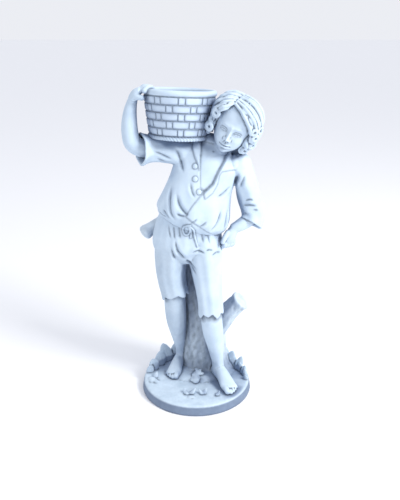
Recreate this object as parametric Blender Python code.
"""A cast stone garden statue: a barefoot boy on a round plinth, with a tree stump behind the legs and a
woven basket on the right shoulder that is the planter. It is cast in one piece, so it is one solid with an
open basket. Metres, +Z up, the boy faces -Y, and the origin is the centre of the plinth's underside."""

import math

import bmesh
import bpy
import numpy as np
from mathutils import Matrix, Vector
from mathutils.bvhtree import BVHTree

# Driving sizes, in metres
FIGURE_HEIGHT = 0.821  # plinth's top to the crown of the hair
PLINTH_RADIUS = 0.159
PLINTH_TOP_RADIUS = 0.153
PLINTH_THICKNESS = 0.029
PLINTH_EDGE_ROUND = 0.004
BASKET_RIM_RADIUS = 0.094  # outside of the rolled rim
BASKET_TOP_RADIUS = 0.0895  # of the wall, under the rolled rim
BASKET_BASE_RADIUS = 0.071
BASKET_HEIGHT = 0.1215
BASKET_WALL = 0.011
BASKET_FLOOR = 0.014
BASKET_FLOOR_ROUND = 0.008
CAVITY_OVERLAP = 0.0055  # how far the cut that clears the basket reaches into its wall
CAVITY_FLOOR_OVERLAP = 0.004
CAVITY_ABOVE = 0.02  # how far that cut goes on above the rim
BASKET_X = -0.045  # the middle of the basket's underside
BASKET_Y = 0.015
BASKET_LEAN = 2.5  # degrees, towards the head
BASKET_LEAN_BACK = 2.5
RIM_ROLL_HEIGHT = 0.0155
RIM_ROLL_WIDTH = 0.016
BASKET_ROPE_RADIUS = 0.0058
WEAVE_ROWS = 5
WEAVE_PAIRS = 9  # a long and a short block each, round the basket
WEAVE_LONG_SHARE = 0.74  # of a pair's width, for its long block
WEAVE_RELIEF = 0.0028
WEAVE_GROOVE = 0.0024
VOXEL = 0.0036  # finest detail of the fused figure
FIGURE_TRIANGLES = 5400
STONE = (0.72, 0.79, 0.86)

# The figure is drawn in millimetres, at this height, above the plinth's top
DRAWN_HEIGHT = 821
UNIT = FIGURE_HEIGHT / DRAWN_HEIGHT
SUNK = 14  # how far the figure reaches into the plinth
BASKET_SEAT = 698.5  # where the basket's underside rests on the shoulder
GRIP_ANGLE = 198  # degrees round the basket from +X to the hand on its rim
DRAWN_GRIP = (-129, -9, 822)  # the rim under that hand, as the arm was drawn
BASKET_PLACE = Matrix.Translation((BASKET_X, BASKET_Y, PLINTH_THICKNESS + BASKET_SEAT * UNIT))
BASKET_PLACE = BASKET_PLACE @ Matrix.Rotation(math.radians(BASKET_LEAN), 4, "Y")
BASKET_PLACE = BASKET_PLACE @ Matrix.Rotation(math.radians(-BASKET_LEAN_BACK), 4, "X")


# Closed shapes, each a pair of points and faces


def unit(vectors):
    return vectors / np.linalg.norm(vectors, axis=-1, keepdims=True)


def smooth_rows(rows, steps):
    """Rows of numbers with steps - 1 more between each two of them, on a Catmull-Rom curve."""
    p = np.array(rows, float)
    p = np.vstack([2 * p[0] - p[1], p, 2 * p[-1] - p[-2]])
    s = (np.arange(steps) / steps)[:, None]
    between = [
        b + (c - a) * s / 2 + (2 * a - 5 * b + 4 * c - d) * s**2 / 2 + (3 * b - a - 3 * c + d) * s**3 / 2
        for a, b, c, d in zip(p, p[1:], p[2:], p[3:])
    ]
    return np.vstack(between + [p[-2:-1]])


def stitched(rings, start, end):
    """The closed shape through rings of as many points each, with a point to close each end."""
    count, sides = rings.shape[:2]
    points = np.vstack([rings.reshape(-1, 3), [start], [end]])
    near = np.arange((count - 1) * sides)
    beside = near - near % sides + (near + 1) % sides
    faces = np.stack([near, beside, beside + sides, near + sides], 1).tolist()
    first = np.arange(sides)
    last = first + (count - 1) * sides
    after = (first + 1) % sides
    faces += np.stack([after, first, first * 0 + count * sides], 1).tolist()
    faces += np.stack([last, after + (count - 1) * sides, first * 0 + count * sides + 1], 1).tolist()
    return points, faces


def tube(rows, across=(1, 0, 0), sides=20, steps=4, cap=0.6, mouth=0, wall=5, folds=None, hem=None):
    """A limb, sleeve or trunk through rows of a point and the half width and half depth there.

    across points along the width. Each end is rounded by cap of its half width, or, with a mouth, the far
    end is hollow to that depth. folds(t, angle) swells the skin, and hem(angle) draws the far edge out.
    """
    rows = smooth_rows(rows, steps)
    centre, half = rows[:, :3], rows[:, 3:5]
    along = unit(np.gradient(centre, axis=0))
    across = np.array(across, float)
    width = unit(across - (along @ across)[:, None] * along)
    depth = np.cross(along, width)
    angle = np.arange(sides) * 2 * math.pi / sides
    spoke = width[:, None] * np.cos(angle)[:, None] * half[:, None, :1]
    spoke = spoke + depth[:, None] * np.sin(angle)[:, None] * half[:, None, 1:]
    if folds:
        t = np.linspace(0, 1, len(rows))[:, None]
        spoke = spoke + unit(spoke) * folds(t, angle[None])[..., None]
    rings = centre[:, None] + spoke
    if hem:
        rings[-1] += along[-1] * hem(angle)[:, None]
    length = cap * half.min(1)
    bow = np.radians([75, 50, 25])
    first = [centre[0] - along[0] * length[0] * math.sin(a) + spoke[0] * math.cos(a) for a in bow]
    if mouth:
        rim = rings[-1] - unit(spoke[-1]) * wall
        last = [rim, centre[-1] + 0.65 * (rim - centre[-1]) - along[-1] * mouth]
        end = centre[-1] - along[-1] * mouth
    else:
        bow = bow[::-1]
        last = [rings[-1] + along[-1] * length[-1] * math.sin(a) - spoke[-1] * (1 - math.cos(a)) for a in bow]
        end = centre[-1] + along[-1] * length[-1]
    start = centre[0] - along[0] * length[0]
    return stitched(np.vstack([first, rings, last]), start, end)


def ball(centre, radii, turn=(0, 0, 0), lumps=0, seed=0, sides=18):
    """An ellipsoid, turned by degrees about X, Y and Z, with its skin moved by lumps of its size."""
    up = np.radians(np.linspace(-90, 90, sides // 2 + 1))[1:-1, None]
    angle = np.arange(sides) * 2 * math.pi / sides
    way = np.stack([np.cos(up) * np.cos(angle), np.cos(up) * np.sin(angle), np.sin(up) + 0 * angle], -1)
    if lumps:
        wave = np.sin(way @ np.array([6.2, 4.6, 3.4]) + seed)
        wave *= np.sin(way @ np.array([-1.9, 3.3, 2.9]) + 2 * seed)
        way = way * (1 + lumps * wave)[..., None]
    points, faces = stitched(way, (0, 0, -1), (0, 0, 1))
    spin = Matrix.Rotation(math.radians(turn[2]), 3, "Z")
    spin = spin @ Matrix.Rotation(math.radians(turn[1]), 3, "Y")
    spin = spin @ Matrix.Rotation(math.radians(turn[0]), 3, "X")
    return (points * radii) @ np.array(spin).T + centre, faces


def placed(shape, matrix):
    points, faces = shape
    matrix = np.array(matrix)
    return points @ matrix[:3, :3].T + matrix[:3, 3], faces


def bump(x, width):
    return np.exp(-((x / width) ** 2))


def ramp(x, low, high):
    """0 below low and 1 above high, with a smooth step between."""
    x = np.clip((x - low) / (high - low), 0, 1)
    return x * x * (3 - 2 * x)


# The stump behind the legs


def bark(t, angle):
    return 1.6 * np.sin(9 * angle + 5 * t) + 1.1 * np.sin(17 * angle - 9 * t) + 0 * t


def stump():
    trunk = [(28, 60, -6, 88, 66), (26, 61, 22, 72, 54), (24, 58, 60, 64, 50), (22, 56, 130, 62, 47)]
    trunk += [(14, 57, 210, 58, 45), (4, 58, 300, 53, 42), (-6, 58, 400, 48, 40), (-14, 58, 476, 45, 39)]
    branch = [(46, 56, 118, 33, 33), (74, 47, 163, 32, 32), (98, 40, 196, 28, 28), (116, 35, 217, 26.5, 26.5)]
    branch += [(129, 31, 232, 29, 29)]
    stub = [(-40, 48, 480, 26, 26), (-88, 38, 466, 21, 20), (-110, 34, 457, 17, 17)]
    stub += [(-124, 32, 449, 17.5, 17), (-135, 30, 441, 21, 20), (-141, 30, 436, 21, 20)]
    return [
        tube(trunk, sides=40, cap=0.12, folds=bark),
        tube(branch, across=(0, 1, 0), sides=28, cap=0.1, folds=lambda t, a: 0.5 * bark(t, a)),
        tube(stub, across=(0, 1, 0), sides=24, cap=0.3),
    ]


# The ground on the plinth: a rise round the stump, blades of a low plant, a sprig, fallen leaves and stones


def ground():
    blades = [(164, 125, 44, 34), (152, 120, 50, 38), (138, 112, 66, 40), (124, 112, 62, 38)]
    blades += [(109, 114, 52, 38), (90, 118, 44, 38), (70, 116, 44, 38), (54, 112, 48, 36)]
    blades += [(42, 112, 54, 32), (30, 108, 60, 30), (24, 118, 44, 26), (16, 122, 50, 24)]
    blades += [(11, 130, 34, 20), (5, 134, 34, 18), (-1, 139, 26, 17), (-7, 141, 20, 15)]
    stones = [((-14, -108, -1), (8, 6, 5)), ((-129, -22, 0), (11, 14, 8)), ((-118, -30, 0), (6, 9, 5))]
    leaves = [(-6, 8, 110, 34), (14, 8, 60, 34), (-14, -14, 20, 32), (22, -8, -25, 28), (-16, -34, 50, 34)]
    leaves += [(8, -30, -60, 26), (-4, -44, 80, 32), (-22, -97, 30, 23), (18, -98, -30, 21)]
    leaves.append((54, -104, 40, 17))
    centre, size = (10, 52, -10), (118, 96, 26)
    shapes = [ball(centre, size)]
    for k, (around, reach, high, wide) in enumerate(blades):
        a = math.radians(around)
        middle = (reach * math.cos(a), reach * math.sin(a), 0.46 * high - 2)
        turn = (10 + 6 * (k % 3), 0, 0.4 * (around - 90))
        shapes.append(ball(middle, (0.45 * wide, 7, 0.5 * high), turn, 0.05, k))
    shapes += [ball(c, r, (0, 0, 30 * k), 0.1, k) for k, (c, r) in enumerate(stones)]
    for x, y, turn, long in leaves:
        slope = 1 - ((x - centre[0]) / size[0]) ** 2 - ((y - centre[1]) / size[1]) ** 2
        level = max(0, size[2] * math.sqrt(max(slope, 0)) + centre[2])
        shapes.append(ball((x, y, level + 2), (long / 2, long / 4, 6), (0, -12, turn)))
    return shapes


# Bare legs and feet


def foot():
    """A foot with its heel at the origin and its toes towards -Y, the big toe on the +X side."""
    sole = [(0, -6, 15, 15, 15), (-1, -24, 21, 17, 21), (-1, -44, 23, 17, 21), (-2, -64, 18, 19, 17)]
    sole += [(-2, -82, 12.5, 21.5, 12), (-3, -95, 9.5, 21, 9)]
    toes = [(10, -80, 9.5, -114, 7.8), (0.8, -82, 0.4, -114, 5.3), (-7, -82, -8.2, -109.5, 5)]
    toes += [(-14.2, -80, -16, -103, 4.7), (-21, -77, -23.5, -95, 4.4)]
    shapes = [tube(sole, sides=18)]
    for x0, y0, x1, y1, r in toes:
        middle = ((x0 + x1) / 2, (y0 + y1) / 2 - 1, r + 3.4, r, r)
        rows = [(x0, y0, r + 3, r, r), middle, (x1, y1 + r, r + 0.2, r, r * 0.95)]
        shapes.append(tube(rows, sides=12, cap=0.95))
    return shapes


RIGHT_FOOT = Matrix.Translation((-42, 86, 0)) @ Matrix.Rotation(math.radians(-15), 4, "Z")
LEFT_FOOT = Matrix.Translation((54, 18, 0)) @ Matrix.Rotation(math.radians(21), 4, "Z")
LEFT_FOOT = LEFT_FOOT @ Matrix.Diagonal((-1.06, 1.12, 1.06, 1))


def legs():
    right = [(-47, 60, 26, 17, 20), (-47, 59, 55, 16, 18.5), (-49, 50, 85, 18, 21), (-53, 36, 125, 22.5, 26)]
    right += [(-57, 20, 170, 28, 31), (-59, 8, 210, 30, 32), (-60, 0, 255, 30, 32), (-61, -2, 286, 30, 32)]
    left = [(63, -8, 26, 17.5, 20), (62, -10, 55, 17, 19.5), (58, -17, 85, 19.5, 22), (53, -27, 125, 24, 27)]
    left += [(47, -37, 165, 28.5, 31), (43, -43, 200, 29.5, 31), (41, -44, 252, 29, 30)]
    shapes = [tube(right, sides=24), tube(left, sides=24)]
    shapes += [placed(s, RIGHT_FOOT) for s in foot()]
    shapes += [placed(s, LEFT_FOOT) for s in foot()]
    return shapes


# Knee breeches with torn hems, and their waist


def torn(angle):
    """How far a torn hem hangs below its mean at an angle round the leg."""
    wide = np.abs(np.mod(angle * 7 / math.pi + 0.3 * np.sin(2 * angle), 2) - 1) ** 0.8
    narrow = np.abs(np.mod(angle * 4 / math.pi + 0.6, 2) - 1)
    return 13 * wide + 7 * narrow - 10


def breeches():
    hips = [(-21, 3, 370, 40, 38), (-23, 4, 384, 72, 50), (-24, 5, 402, 88, 59), (-24, 4, 425, 94, 63)]
    hips += [(-20, 2, 462, 89, 60), (-12, 0, 498, 80, 55), (-6, 0, 524, 74, 50)]
    right = [(-58, 6, 430, 50, 56), (-67, 5, 390, 46, 53), (-70, 2, 345, 41.5, 47), (-67, -2, 305, 38.5, 43)]
    right += [(-61, -6, 280, 38, 41.5), (-59, -8, 268, 38, 41)]
    left = [(18, 2, 430, 48, 58), (24, -5, 390, 46, 55), (28, -16, 345, 42, 50), (33, -28, 300, 36.5, 44)]
    left += [(38, -39, 258, 34.5, 39), (40, -44, 229, 35, 38.5)]
    soft = lambda t, a: 1.5 * np.sin(5 * a + 3 * t) * (1 - 0.6 * t) + 0.8 * np.sin(9 * a + 1)
    gathers = lambda t, a: 2.2 * t**2 * np.sin(22 * a)
    return [
        tube(hips, sides=56, cap=0.2, folds=gathers),
        tube(right, sides=56, mouth=9, wall=3.5, folds=soft, hem=torn),
        tube(left, sides=56, mouth=9, wall=3.5, folds=soft, hem=lambda a: torn(a + 1.7)),
    ]


# The open shirt, full over the waist, with wide sleeves


def shirt():
    body = [(-18, -2, 474, 78, 54), (-13, -3, 488, 94, 70), (-7, -3, 508, 98, 75), (2, -1, 543, 91, 69)]
    body += [(12, 1, 580, 84, 62), (24, 3, 615, 83, 59), (38, 4, 645, 80, 55), (48, 4, 665, 64, 45)]
    body += [(56, 3, 680, 40, 33)]
    right = [(0, 4, 652, 36, 38), (-40, 4, 664, 34.5, 37), (-75, 3, 668, 32, 35), (-105, -1, 672, 32, 35)]
    right += [(-126, -7, 674, 37, 38), (-141, -14, 675, 42, 41)]
    left = [(103, 4, 640, 34, 34), (120, 4, 612, 33, 31), (131, 4, 580, 32, 30), (139, 5, 548, 32, 30.5)]
    left += [(147, 4, 523, 32, 31), (153, 0, 503, 31, 31), (151, -7, 488, 31, 31), (145, -12, 477, 32, 33)]
    blouse = lambda t, a: 3.4 * (1 - ramp(t, 0.02, 0.55)) * np.sin(11 * a + 2 * t) * ramp(t, 0, 0.1)
    creased = lambda t, a: 1.3 * np.sin(6 * a + 7 * t) + 0.8 * np.sin(3 * a - 16 * t)
    return [
        tube(body, sides=64, folds=blouse),
        ball((-20, 4, 660), (36, 35, 33)),
        ball((110, 4, 632), (34, 35, 34)),
        ball((34, 2, 688), (30, 27, 26)),
        ball((98, 22, 668), (34, 24, 24)),
        tube(right, across=(0, 0, 1), sides=36, mouth=24, wall=8, folds=creased),
        tube(left, across=(0, 1, 0), sides=36, mouth=14, wall=8, folds=creased),
    ]


# The arms, and the hands on the basket's rim and on the hip


def on_basket(angle, radius, height):
    """A point of the basket in the figure's millimetres, from degrees round it and metres out and up."""
    a = math.radians(angle)
    point = BASKET_PLACE @ Vector((radius * math.cos(a), radius * math.sin(a), height))
    return np.array([point.x, point.y, point.z - PLINTH_THICKNESS]) / UNIT


def raised_arm():
    """The right arm. Its hand keeps to the basket's rim, and the forearm bends to follow it."""
    grip = on_basket(GRIP_ANGLE, BASKET_RIM_RADIUS, BASKET_HEIGHT)
    shift = grip - DRAWN_GRIP
    rows = [(-112, 0, 673, 24, 24), (-142, -5, 678, 24, 24), (-160, -8, 690, 23, 23)]
    rows += [(-166, -8, 712, 21.5, 22), (-167, -7, 737, 20, 21), (-164, -5, 766, 16.5, 17)]
    rows.append((-158, -4, 790, 12.5, 14))
    for k, follow in enumerate((0, 0, 0, 0.15, 0.4, 0.75, 1)):
        rows[k] = (*(np.array(rows[k][:3]) + shift * follow), *rows[k][3:])
    palm = [(-29, 4, -38, 13, 12), (-26, 3, -24, 17, 12), (-18, 1, -12, 20, 11), (-7, -1, -5, 20, 8.5)]
    palm = [(*(grip + row[:3]), *row[3:]) for row in palm]
    shapes = [tube(rows, sides=24), tube(palm, across=(0, 1, 0), sides=20)]
    rim, top = BASKET_RIM_RADIUS / UNIT, BASKET_HEIGHT / UNIT
    bend = [(5, -6, 7), (-4, 2, 6.6), (-14, 2, 6.2), (-20, -7, 5.6)]
    for k in range(4):
        around = GRIP_ANGLE + 9 * (k - 1.5)
        path = [(*on_basket(around, (rim + out) * UNIT, (top + up) * UNIT), r, r) for out, up, r in bend]
        shapes.append(tube(path, sides=12, cap=0.9))
    thumb = [((-24, -10, -24), 8.5), ((-14, -17, -20), 7.5), ((-2, -22, -22), 6.5)]
    thumb = [(*(grip + p), r, r) for p, r in thumb]
    return shapes + [tube(thumb, sides=12, cap=0.9)]


def lowered_arm():
    """The left arm, bent back to a hand that rests with its knuckles on the hip."""
    forearm = [(149, 0, 499, 20, 20), (136, -13, 486, 19, 19), (117, -20, 475, 16.5, 16.5)]
    forearm.append((99, -22, 466, 13.5, 13.5))
    palm = [(103, -22, 468, 13, 13), (95, -22, 455, 16, 13), (90, -18, 438, 18, 12.5), (87, -14, 428, 17, 10)]
    shapes = [tube(forearm, sides=24), tube(palm, across=(0.75, 0.66, 0), sides=20)]
    for k in range(4):
        start = np.array([76, -24, 428]) + np.array([7.8, 6.5, -0.6]) * k
        bend = [(0, 0, 4, 6.8), (0, 1, -8, 6.8), (-6, 8, -15, 6.4), (-13, 15, -10, 5.8)]
        shapes.append(tube([(*(start + (x, y, z)), r, r) for x, y, z, r in bend], sides=12, cap=0.9))
    thumb = [(84, -30, 458, 7.5, 7.5), (76, -34, 446, 7, 7), (70, -36, 432, 6.2, 6.2)]
    return shapes + [tube(thumb, sides=12, cap=0.9)]


# The head, drawn about its own centre with the face towards -Y, then turned and tilted on the neck

HEAD_TURN = Matrix.Rotation(math.radians(25), 4, "Y") @ Matrix.Rotation(math.radians(-8), 4, "Z")
HEAD = Matrix.Translation((97, -27, 741)) @ HEAD_TURN @ Matrix.Rotation(math.radians(12), 4, "X")


def features(x, z):
    """How far a calm child's face stands out at a height and at a distance to its left of the nose."""
    side = np.abs(x)
    brow = 1.8 * bump(side - 16, 13) * bump(z - 5, 6) + 0.8 * bump(x, 10) * bump(z - 3, 6)
    socket = -5.5 * bump(side - 18, 10) * bump(z + 9, 7.5)
    eye = 4.6 * bump(side - 18.5, 7) * bump(z + 9.5, 5) - 1.2 * bump(side - 18.5, 11) * bump(z + 2.5, 1.6)
    bridge = 8.5 * bump(x, 4.6) * ramp(z, -34, -24) * (1 - 0.72 * ramp(z, -27, 2)) * (1 - ramp(z, 2, 14))
    tip = 9 * bump(x, 6.4) * bump(z + 27, 5.4) + 5.5 * bump(side - 7.8, 3.9) * bump(z + 29, 4.2)
    lips = 3.4 * bump(x, 12) * bump(z + 41.5, 3) + 3.8 * bump(x, 10) * bump(z + 48, 3.4)
    lips = lips + 1.8 * bump(x, 15) * bump(z + 44, 9)
    mouth = -3.2 * bump(x, 14) * bump(z + 44.6 - 0.012 * x**2, 1.5)
    mouth = mouth - 1.2 * bump(side - 17, 3) * bump(z + 42, 4)
    below = 3.5 * bump(x, 12) * bump(z + 60, 6.5) - 1.4 * bump(x, 9) * bump(z + 53.5, 2.6)
    cheek = 2.6 * bump(side - 24, 11) * bump(z + 27, 11)
    return brow + socket + eye + bridge + tip + lips + mouth + below + cheek


def head(sides=96, step=2):
    """The bare head, in level rows of a half width and how far it reaches to the front and back."""
    rows = [(-66, 10, -38, -14), (-60, 23, -45, 2), (-50, 33, -48, 18), (-38, 40, -50, 34)]
    rows += [(-25, 43.5, -51, 48), (-10, 45, -51, 57), (5, 46, -54, 61), (25, 46, -53.5, 61)]
    rows += [(42, 43.5, -50, 55), (55, 35, -41, 45), (63, 21, -26, 28)]
    rows = np.array(rows, float)
    z = np.arange(-66, 63.1, step)
    width, front, back = (np.interp(z, rows[:, 0], rows[:, k]) for k in (1, 2, 3))
    mean = np.ones(7) / 7
    width, front, back = (np.convolve(np.pad(r, 3, "edge"), mean, "valid") for r in (width, front, back))
    angle = np.arange(sides) * 2 * math.pi / sides
    c, s = np.cos(angle), np.sin(angle)
    x = width[:, None] * np.sign(c) * np.abs(c) ** 0.9
    reach = np.where(s < 0, -front[:, None], back[:, None])
    y = reach * np.sign(s) * np.abs(s) ** 0.9
    level = z[:, None] + 0 * x
    y = y - np.where(s < 0, ramp(-s, 0.1, 0.6), 0) * features(x, level)
    points, faces = stitched(np.stack([x, y, level], -1), (0, -20, -69), (0, 4, 66))
    return points, faces


def lock(points, radii, sides=14):
    """A lock of hair through points, with three strands that turn along it."""
    rows = [(*p, r, r * 0.85) for p, r in zip(points, radii)]
    size = max(radii)
    return tube(rows, sides=sides, steps=5, cap=0.9, folds=lambda t, a: 0.13 * size * np.sin(3 * a + 5 * t))


def curl(centre, radius, thick, out=(0, -1, 0), turns=1.25, start=0.0):
    """A lock that winds up into a ring, seen from the side that out points to."""
    out = unit(np.array(out, float))
    right = unit(np.cross((0, 0, 1), out))
    up = np.cross(out, right)
    t = np.linspace(0, 1, 11)
    a = start + 2 * math.pi * turns * t
    reach = radius * (1.15 - 0.5 * t)
    ring = np.outer(reach * np.cos(a), right) + np.outer(reach * np.sin(a), up)
    ring = ring + np.outer(t * thick * 0.9, out)
    return lock(ring + centre, thick * (0.75 + 0.35 * np.sin(math.pi * t)), sides=12)


def scalp(around, down, lift):
    """A point over the skull: degrees round from the face, degrees down from the crown, height over it."""
    a, d = math.radians(around), math.radians(down)
    level = math.sin(min(d, math.radians(102)))
    reach = np.array([47, 56, 54]) + lift
    low = 1.2 if down > 90 else 1
    return np.array([level * math.sin(a), -level * math.cos(a), math.cos(d) * low]) * reach + (0, 6, 10)


def hair():
    """A cap over the skull, three rows of wavy locks round it, a parted fringe and curls beside the face."""
    shapes = [ball((0, 13, 13), (52, 56, 50), sides=28), ball((4, 28, -24), (46, 38, 36), sides=20)]
    rows = [(12, 82, 12, 9, 1), (48, 112, 15, 9, 3), (80, 138, 16, 8.5, 4)]
    for layer, (start, end, count, thick, lift) in enumerate(rows):
        for k in range(count):
            s = np.linspace(0, 1, 6)
            wave = 8 * np.sin(2 * math.pi * (1.1 * s + 0.37 * k))
            around = 66 + 228 * (k + 0.5 * (layer % 2)) / (count - 0.5) + wave
            path = [scalp(a, start + (end - start) * t, lift + 4 * t) for a, t in zip(around, s)]
            shapes.append(lock(path, thick * (0.5 + 0.6 * np.sin(math.pi * (0.15 + 0.75 * s)))))
    fringe = [
        ([(-18, -42, 58), (4, -50, 49), (22, -51, 38), (37, -45, 25), (46, -35, 9)], (4.5, 6.5, 7.5, 7.5, 5)),
        ([(-16, -30, 63), (8, -42, 57), (30, -42, 47), (47, -33, 29), (55, -24, 10)], (5.5, 8, 9, 9, 6)),
        ([(-10, -12, 66), (15, -23, 63), (37, -22, 51), (51, -13, 32), (56, -9, 12)], (7, 9, 9.5, 9.5, 7)),
        ([(-4, 8, 66), (20, 2, 62), (40, 2, 50), (52, 5, 30), (56, 7, 6)], (7, 9, 10, 10, 8)),
        ([(-24, -40, 57), (-33, -46, 46), (-41, -46, 35), (-48, -42, 27)], (4.5, 7, 7.5, 6)),
        ([(-22, -28, 62), (-39, -33, 52), (-50, -32, 36), (-56, -26, 20), (-54, -30, 2)], (5.5, 8, 9, 8, 6)),
        ([(-18, -10, 66), (-39, -14, 59), (-53, -12, 42), (-58, -8, 20), (-57, -12, -6)], (7, 9, 10, 9.5, 7)),
        ([(-12, 10, 67), (-35, 8, 61), (-50, 6, 44), (-57, 6, 20), (-56, 8, -4)], (7, 9, 10, 10, 8)),
        ([(-55, -20, 4), (-56, -26, -8), (-52, -33, -14)], (8, 8, 6)),
    ]
    shapes += [lock(*f) for f in fringe]
    curls = [
        ((-50, -38, 16), 8.5, 4.4, (-0.4, -1, 0), 2.0),
        ((-51, -32, -22), 9, 4.6, (-0.5, -1, 0), 1.6),
        ((53, -22, 24), 8.5, 4.8, (0.8, -1, 0.1), 1.0),
        ((58, -14, 0), 9.5, 5.2, (1, -0.9, 0), 2.6),
        ((57, -10, -26), 10, 5.2, (1, -0.8, -0.1), 0.5),
        ((42, -12, -45), 8.5, 5, (0.7, -1, -0.3), 2.0),
        ((58, 6, 12), 10, 5.5, (1, -0.2, 0), 1.5),
        ((59, 8, -16), 10, 5.5, (1, -0.1, 0), 3.5),
        ((53, 10, -42), 10, 5.5, (1, -0.3, -0.4), 0.0),
    ]
    shapes += [curl(c, r, thick, out, start=start) for c, r, thick, out, start in curls]
    return shapes


def whole_head():
    ear = [ball((45.5, -8, -14), (5, 8, 13), turn=(0, 0, -25)), ball((44, -10, -24), (4, 5, 6))]
    neck = [(46, 6, 640, 32, 30), (57, -3, 668, 26.5, 26), (69, -9, 695, 25, 25), (84, -12, 724, 26, 27)]
    return [placed(s, HEAD) for s in [head()] + ear + hair()] + [tube(neck, sides=28)]


# Carving on the clothes, drawn as seen from the front in X and Z: lines, and panels that rise or sink

OPENING = [(9, 700), (12, 681), (9, 656), (9, 618), (10, 585), (20, 574), (43, 593), (58, 626), (72, 649)]
OPENING += [(88, 682), (60, 690)]
COLLAR = [(10, 703), (-4, 696), (-8, 681), (-2, 661), (5, 646), (9, 630), (9, 656), (12, 681)]
LAPEL = [(20, 574), (43, 593), (58, 626), (72, 649), (87, 681), (104, 668), (112, 645), (100, 626), (85, 628)]
LAPEL += [(65, 626), (58, 618), (53, 594), (41, 573), (23, 560)]
FLAP = [(-24, 516), (-8, 541), (10, 562), (28, 578), (43, 593), (58, 626), (72, 649), (88, 681), (150, 690)]
FLAP += [(150, 470), (60, 450), (10, 488)]
PANELS = [(OPENING, -5), (FLAP, 2.5), (COLLAR, 3.5), (LAPEL, 2.5)]

# Each line: its points, its half width, its depth and how high its edges swell
LINES = [
    ([(-63, 586), (-67, 555), (-65, 524), (-51, 502)], 7, 6, 1.5),
    ([(-50, 571), (-43, 545), (-30, 526), (-18, 519)], 7, 6, 1.5),
    ([(-51, 522), (-38, 516), (-26, 516)], 6, 6, 1),
    ([(-86, 527), (-77, 516), (-66, 507)], 5, 4, 1),
    ([(-98, 520), (-87, 509), (-75, 507)], 4, 3, 1),
    ([(-15, 498), (-5, 503), (4, 511)], 4, 3.5, 0.5),
    ([(8, 486), (18, 493), (28, 502)], 4, 3.5, 1),
    ([(34, 473), (49, 485), (59, 504), (66, 530)], 6, 5.5, 1.5),
    ([(74, 466), (78, 491), (83, 526)], 6, 5.5, 1.5),
    ([(52, 560), (70, 568), (90, 584)], 6, 4, 1.5),
    ([(-15, 600), (-10, 576), (-2, 562)], 5, 3.5, 1),
    ([(108, 612), (100, 591), (97, 576)], 7, 7, 1),
    ([(126, 612), (118, 593), (113, 577)], 6, 4, 1),
    ([(-54, 684), (-44, 665), (-37, 640), (-31, 622)], 8, 6, 1.5),
    ([(-106, 676), (-83, 663), (-60, 652)], 5, 4.5, 1),
    ([(-100, 655), (-80, 645), (-62, 642)], 5, 4, 1),
    ([(120, 529), (140, 531), (160, 528)], 5, 4.5, 1.5),
    ([(126, 541), (138, 546), (150, 545)], 4, 3, 1),
    ([(148, 520), (162, 517)], 4, 3, 1),
    ([(-13, 408), (5, 415), (24, 409)], 4.5, 4, 1.5),
    ([(25, 416), (34, 418), (45, 413)], 4, 3.5, 1),
    ([(41, 401), (55, 406), (67, 400)], 4, 3.5, 1),
    ([(-55, 450), (-50, 419), (-40, 403), (-27, 386)], 6, 5, 1.5),
    ([(-66, 426), (-60, 401), (-53, 387)], 5, 3.5, 1),
    ([(-27, 387), (-20, 378), (-11, 363), (2, 345)], 5, 4.5, 1),
    ([(-27, 387), (-14, 374), (2, 360)], 4, 3, 1),
    ([(-72, 486), (-70, 466), (-66, 448)], 4, 2.5, 1),
    ([(-58, 484), (-57, 462), (-55, 446)], 4, 2.5, 1),
    ([(-44, 486), (-43, 466), (-41, 450)], 4, 2.5, 1),
    ([(14, 472), (16, 452), (19, 436)], 4, 2.5, 1),
    ([(30, 462), (33, 446), (37, 432)], 4, 2.5, 1),
    ([(-25, 505), (-33, 490), (-31, 470), (-21, 465), (-14, 483), (-20, 505)], 4, -4.5, 0),
    ([(-15, 470), (-16, 449)], 4, -4.5, 0),
    ([(-5, 495), (-1, 460), (5, 426)], 4, -4.5, 0),
    ([(12, 218), (27, 208), (46, 206)], 6, 2.2, 1),
]
BUTTONS = [(-2, 639), (-2, 608), (8, 576)]
FOLDS_BEHIND = [
    ([(-60, 640), (-30, 600), (10, 560), (40, 540)], 9, 4, 1.5),
    ([(86, 640), (70, 590), (50, 545), (30, 500)], 9, 4, 1.5),
    ([(-70, 560), (-50, 530), (-20, 505)], 8, 4, 1.5),
    ([(-60, 420), (-30, 400), (10, 395), (50, 405)], 8, 3.5, 1.5),
    ([(-66, 350), (-60, 330), (-50, 315)], 7, 3, 1),
    ([(40, 340), (46, 318), (52, 300)], 7, 3, 1),
]


def surface_points(tree, line, way):
    """Points every millimetre or two along a line, on the surface seen from the front (1) or behind (-1)."""
    line = smooth_rows(line, 24)
    hits = [tree.ray_cast(Vector((x, -400 * way, z)), Vector((0, way, 0)))[0] for x, z in line]
    return np.array([h for h in hits if h])


def carve(points, normals, tree, lines, way):
    """Sinks grooves along lines, or raises cords where a depth is below zero."""
    moved = np.zeros(len(points))
    for line, half, depth, swell in lines:
        path = surface_points(tree, line, way)
        low, high = path.min(0) - 3 * half, path.max(0) + 3 * half
        near = np.flatnonzero(np.all((points > low) & (points < high), 1))
        gap = np.linalg.norm(points[near][:, None] - path[None], axis=2)
        closest = gap.argmin(1)
        d = gap.min(1) / half
        end = np.minimum(closest, len(path) - 1 - closest) / (0.2 * len(path))
        fade = np.clip(end + 0.25, 0, 1) if depth > 0 else 1
        groove = -depth * np.clip(1 - d**2, 0, 1) ** 2 + swell * bump(d - 1.6, 0.55)
        moved[near] += groove * fade
    return points + normals * moved[:, None]


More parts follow.
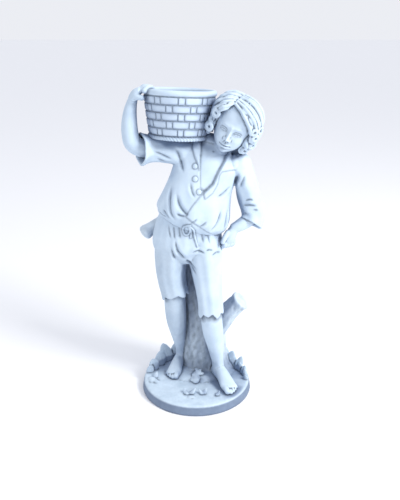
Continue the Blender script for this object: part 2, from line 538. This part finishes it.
def inside_distance(x, z, outline):
    """How deep points lie inside an outline, and how far out, below zero."""
    p = np.stack([x, z], 1)
    a = np.array(outline, float)
    b = np.roll(a, -1, 0)
    t = np.clip(((p[:, None] - a) * (b - a)).sum(2) / ((b - a) ** 2).sum(1), 0, 1)
    gap = np.linalg.norm(p[:, None] - a - t[..., None] * (b - a), axis=2).min(1)
    crosses = (a[:, 1] > z[:, None]) != (b[:, 1] > z[:, None])
    with np.errstate(divide="ignore", invalid="ignore"):
        at = a[:, 0] + (z[:, None] - a[:, 1]) * (b[:, 0] - a[:, 0]) / (b[:, 1] - a[:, 1])
    inside = (crosses & (x[:, None] < at)).sum(1) % 2 == 1
    return np.where(inside, gap, -gap)


def raise_panels(points, normals, panels, edge=2.5):
    """Moves the front of the shirt out, or in where a height is below zero, inside each panel's outline."""
    x, y, z = points.T
    front = np.flatnonzero((normals[:, 1] < -0.05) & (y < -8) & (z > 455) & (z < 712) & (x < 108))
    for outline, height in panels:
        deep = inside_distance(points[front, 0], points[front, 2], outline)
        points[front] += normals[front] * (height * ramp(deep, -edge / 2, edge / 2))[:, None]
    return points


# Fusing the shapes into one skin, and finishing it


def joined(name, shapes):
    """One mesh object of several shapes, in the figure's millimetres."""
    points, faces, count = [], [], 0
    for p, f in shapes:
        points.append(p)
        faces += [[i + count for i in face] for face in f]
        count += len(p)
    mesh = bpy.data.meshes.new(name)
    points = np.vstack(points)
    points[:, 2] = np.maximum(points[:, 2], -SUNK)
    mesh.from_pydata(points.tolist(), [], faces)
    obj = bpy.data.objects.new(name, mesh)
    bpy.context.collection.objects.link(obj)
    return obj


def evaluated(obj):
    """The mesh of an object with its modifiers applied."""
    return bpy.data.meshes.new_from_object(obj.evaluated_get(bpy.context.evaluated_depsgraph_get()))


def read(mesh, what, count=3):
    source = {"co": mesh.vertices, "normal": mesh.vertices, "vertices": mesh.edges}[what]
    values = np.empty(len(source) * count, np.int32 if what == "vertices" else np.float32)
    source.foreach_get(what, values)
    return values.reshape(-1, count) if what == "vertices" else values.reshape(-1, count).astype(float)


def settle(mesh, rounds, hollow, solid):
    """Relaxes a mesh, by one share in its hollows and another on its ridges, so that shapes flow together."""
    edges = read(mesh, "vertices", 2)
    count = np.bincount(edges.ravel(), minlength=len(mesh.vertices))[:, None]
    points = read(mesh, "co")
    for _ in range(rounds):
        beside = points[edges[:, ::-1].ravel()]
        total = np.stack([np.bincount(edges.ravel(), beside[:, k], len(points)) for k in range(3)], 1)
        shift = total / count - points
        outward = (shift * read(mesh, "normal")).sum(1)[:, None] > 0
        points += shift * np.where(outward, hollow, solid)
        mesh.vertices.foreach_set("co", points.ravel())
        mesh.update()
    return points


def fused_figure(voxel):
    """The carved skin round all of the boy, the stump and the ground, in the figure's millimetres."""
    shapes = stump() + ground() + legs() + breeches() + shirt() + raised_arm() + lowered_arm() + whole_head()
    rough = joined("shapes", shapes)
    fuse = rough.modifiers.new("fuse", "REMESH")
    fuse.mode = "VOXEL"
    fuse.voxel_size = voxel
    mesh = evaluated(rough)
    bpy.data.objects.remove(rough)
    points = settle(mesh, 4, 0.5, 0.12)
    points = raise_panels(points, read(mesh, "normal"), PANELS)
    mesh.vertices.foreach_set("co", points.ravel())
    mesh.update()
    for lines, way in ((LINES, 1), (FOLDS_BEHIND, -1)):
        tree = BVHTree.FromPolygons(points.tolist(), [list(f.vertices) for f in mesh.polygons])
        points = carve(points, read(mesh, "normal"), tree, lines, way)
    for x, z in BUTTONS:
        seat = surface_points(tree, [(x - 0.1, z), (x + 0.1, z)], 1)[0]
        away = np.linalg.norm(points - seat, axis=1)
        button = 3.2 * ramp(-away, -8, -5.5) - 1.4 * bump(away - 8.5, 1.6) * (away < 14)
        points += read(mesh, "normal") * button[:, None]
    mesh.vertices.foreach_set("co", points.ravel())
    mesh.update()
    return mesh


# The plinth and the basket, turned to their own sizes in metres


def ring(radius, height, angles):
    a = np.radians(angles)
    return np.stack([radius * np.cos(a), radius * np.sin(a), height + 0 * a], 1)


def turned(name, rings, bottom, top):
    """A closed solid through rings of points from bottom to top, each with its own angles in rising order."""
    points = np.vstack(rings + [np.array([(0, 0, bottom), (0, 0, top)])])
    start = np.cumsum([0] + [len(r) for r in rings])
    faces = [(start[-1], (i + 1) % len(rings[0]), i) for i in range(len(rings[0]))]
    for k, (low, high) in enumerate(zip(rings, rings[1:])):
        angles = [np.mod(np.arctan2(r[:, 1], r[:, 0]), 2 * math.pi) + 1e-9 for r in (low, high)]
        angles = [np.append(a, a[0] + 2 * math.pi) for a in angles]
        i = j = 0
        while i < len(low) or j < len(high):
            here, there = start[k] + i % len(low), start[k + 1] + j % len(high)
            if j == len(high) or (i < len(low) and angles[0][i + 1] <= angles[1][j + 1]):
                i += 1
                faces.append((here, start[k] + i % len(low), there))
            else:
                j += 1
                faces.append((here, start[k + 1] + j % len(high), there))
    count = len(rings[-1])
    faces += [(start[-2] + i, start[-2] + (i + 1) % count, start[-1] + 1) for i in range(count)]
    mesh = bpy.data.meshes.new(name)
    mesh.from_pydata(points.tolist(), [], [[int(i) for i in f] for f in faces])
    obj = bpy.data.objects.new(name, mesh)
    bpy.context.collection.objects.link(obj)
    return obj


def plinth(sides=60):
    angles = np.arange(sides) * 360 / sides
    slope = (PLINTH_RADIUS - PLINTH_TOP_RADIUS) / PLINTH_THICKNESS
    profile = [(PLINTH_RADIUS, 0)]
    level = PLINTH_THICKNESS - PLINTH_EDGE_ROUND
    profile.append((PLINTH_RADIUS - slope * level, level))
    for a in (45, 90):
        rise = PLINTH_EDGE_ROUND * math.sin(math.radians(a))
        back = PLINTH_EDGE_ROUND * (1 - math.cos(math.radians(a)))
        profile.append((PLINTH_RADIUS - slope * level - back, level + rise))
    return turned("plinth_form", [ring(r, h, angles) for r, h in profile], 0, PLINTH_THICKNESS)


def wall_radius(height):
    """The outside of the basket's wall in its grooves, which swells a little towards the rim."""
    t = np.clip(height / (BASKET_HEIGHT - RIM_ROLL_HEIGHT), 0, 1)
    return BASKET_BASE_RADIUS + (BASKET_TOP_RADIUS - BASKET_BASE_RADIUS) * t**0.8


def weave_angles(row):
    """The angles round one row, and whether each lies on a raised block or down in a groove between two."""
    pair = 360 / WEAVE_PAIRS
    groove = math.degrees(WEAVE_GROOVE / BASKET_TOP_RADIUS)
    long_end = pair * WEAVE_LONG_SHARE
    cuts = [0, groove, long_end / 3 + groove / 2, long_end * 2 / 3, long_end - groove]
    cuts = np.array(cuts + [long_end, long_end + groove, pair - groove])
    raised = [0, 1, 1, 1, 1, 0, 1, 1]
    angles = np.concatenate([cuts + pair * (k + 0.5 * (row % 2)) for k in range(WEAVE_PAIRS)]) % 360
    order = np.argsort(angles)
    return angles[order], np.tile(raised, WEAVE_PAIRS)[order]


def rim_roll(sides=6):
    """Radius and height of the rolled rim, from its foot outside, over the top, to its foot inside."""
    a = np.radians(np.linspace(-55, 235, sides + 1))
    radius = BASKET_RIM_RADIUS - RIM_ROLL_WIDTH / 2 * (1 - np.cos(a))
    return list(zip(radius, BASKET_HEIGHT - RIM_ROLL_HEIGHT / 2 * (1 - np.sin(a))))


def rope_rings(strands=30, count=5):
    """The rope round the basket's foot: each ring of points is turned by half a strand from the one below."""
    rings = []
    for k, t in enumerate(np.radians(np.linspace(-90, 90, count))):
        ridge = np.tile((1.1, 0.8), strands)
        reach = BASKET_BASE_RADIUS + BASKET_ROPE_RADIUS * ridge * math.cos(t)
        height = BASKET_ROPE_RADIUS * (1 + math.sin(t))
        rings.append(ring(reach, height, (np.arange(2 * strands) + 0.5 * k) * 180 / strands))
    return rings


def basket():
    plain = np.arange(36) * 10.0
    foot = BASKET_ROPE_RADIUS * 2
    rings = rope_rings()
    band = (BASKET_HEIGHT - RIM_ROLL_HEIGHT - foot) / WEAVE_ROWS
    for row in range(WEAVE_ROWS):
        low = foot + band * row
        angles, raised = weave_angles(row)
        rings.append(ring(wall_radius(low), low, plain))
        for height in (low + WEAVE_GROOVE / 2, low + band - WEAVE_GROOVE / 2):
            rings.append(ring(wall_radius(height) + WEAVE_RELIEF * raised, height, angles))
    rings += [ring(r, h, plain) for r, h in rim_roll()]
    for height in (BASKET_HEIGHT - RIM_ROLL_HEIGHT, BASKET_FLOOR + BASKET_FLOOR_ROUND):
        rings.append(ring(wall_radius(height) - BASKET_WALL, height, plain))
    inner = wall_radius(BASKET_FLOOR) - BASKET_WALL - BASKET_FLOOR_ROUND
    rings.append(ring(inner, BASKET_FLOOR, plain))
    obj = turned("basket_form", rings, 0, BASKET_FLOOR)
    obj.matrix_world = BASKET_PLACE
    return obj


def cavity():
    """What the basket holds, cut out of everything else that reaches into it."""
    plain = np.arange(36) * 10.0 + 5
    under = BASKET_HEIGHT - RIM_ROLL_HEIGHT
    wall = BASKET_WALL - CAVITY_OVERLAP
    mouth = BASKET_RIM_RADIUS - RIM_ROLL_WIDTH - CAVITY_OVERLAP
    bottom = BASKET_FLOOR - CAVITY_FLOOR_OVERLAP
    top = BASKET_HEIGHT + CAVITY_ABOVE
    profile = [(wall_radius(BASKET_FLOOR) - wall, bottom), (wall_radius(under) - wall, under)]
    profile += [(mouth, under), (mouth, top)]
    obj = turned("cavity_form", [ring(r, h, plain) for r, h in profile], bottom, top)
    obj.matrix_world = BASKET_PLACE
    return obj


# The whole statue


def stone():
    material = bpy.data.materials.new("cast stone")
    material.use_nodes = True
    shader = material.node_tree.nodes["Principled BSDF"]
    shader.inputs["Base Color"].default_value = (*STONE, 1)
    shader.inputs["Roughness"].default_value = 0.85
    shader.inputs["Metallic"].default_value = 0
    return material


def largest_body(mesh):
    """Keeps the biggest of a mesh's separate shells, so that no chip is left where shapes meet."""
    edit = bmesh.new()
    edit.from_mesh(mesh)
    left, best = set(edit.verts), set()
    while left:
        body, todo = set(), [left.pop()]
        while todo:
            v = todo.pop()
            body.add(v)
            for e in v.link_edges:
                other = e.other_vert(v)
                if other in left:
                    left.remove(other)
                    todo.append(other)
        if len(body) > len(best):
            best = body
    bmesh.ops.delete(edit, geom=[v for v in edit.verts if v not in best], context="VERTS")
    bmesh.ops.triangulate(edit, faces=edit.faces[:])
    edit.to_mesh(mesh)
    edit.free()


def statue():
    mesh = fused_figure(VOXEL / UNIT)
    points = read(mesh, "co") * UNIT + (0, 0, PLINTH_THICKNESS)
    mesh.vertices.foreach_set("co", points.ravel())
    mesh.update()
    obj = bpy.data.objects.new("statue", mesh)
    bpy.context.collection.objects.link(obj)
    thin = obj.modifiers.new("thin", "DECIMATE")
    thin.ratio = FIGURE_TRIANGLES / (2 * len(mesh.polygons))
    forms = [(cavity(), "DIFFERENCE"), (basket(), "UNION"), (plinth(), "UNION")]
    for form, operation in forms:
        form.hide_render = True
        form.display_type = "WIRE"
        join = obj.modifiers.new(form.name, "BOOLEAN")
        join.operation = operation
        join.solver = "EXACT"
        join.use_self = True
        join.object = form
    whole = evaluated(obj)
    obj.modifiers.clear()
    largest_body(whole)
    obj.data = whole
    whole.materials.clear()
    whole.materials.append(stone())
    whole.shade_smooth()
    whole.set_sharp_from_angle(angle=math.radians(40))
    for form, _ in forms:
        bpy.data.objects.remove(form)
    return obj


for old in list(bpy.data.objects):
    bpy.data.objects.remove(old)
statue()
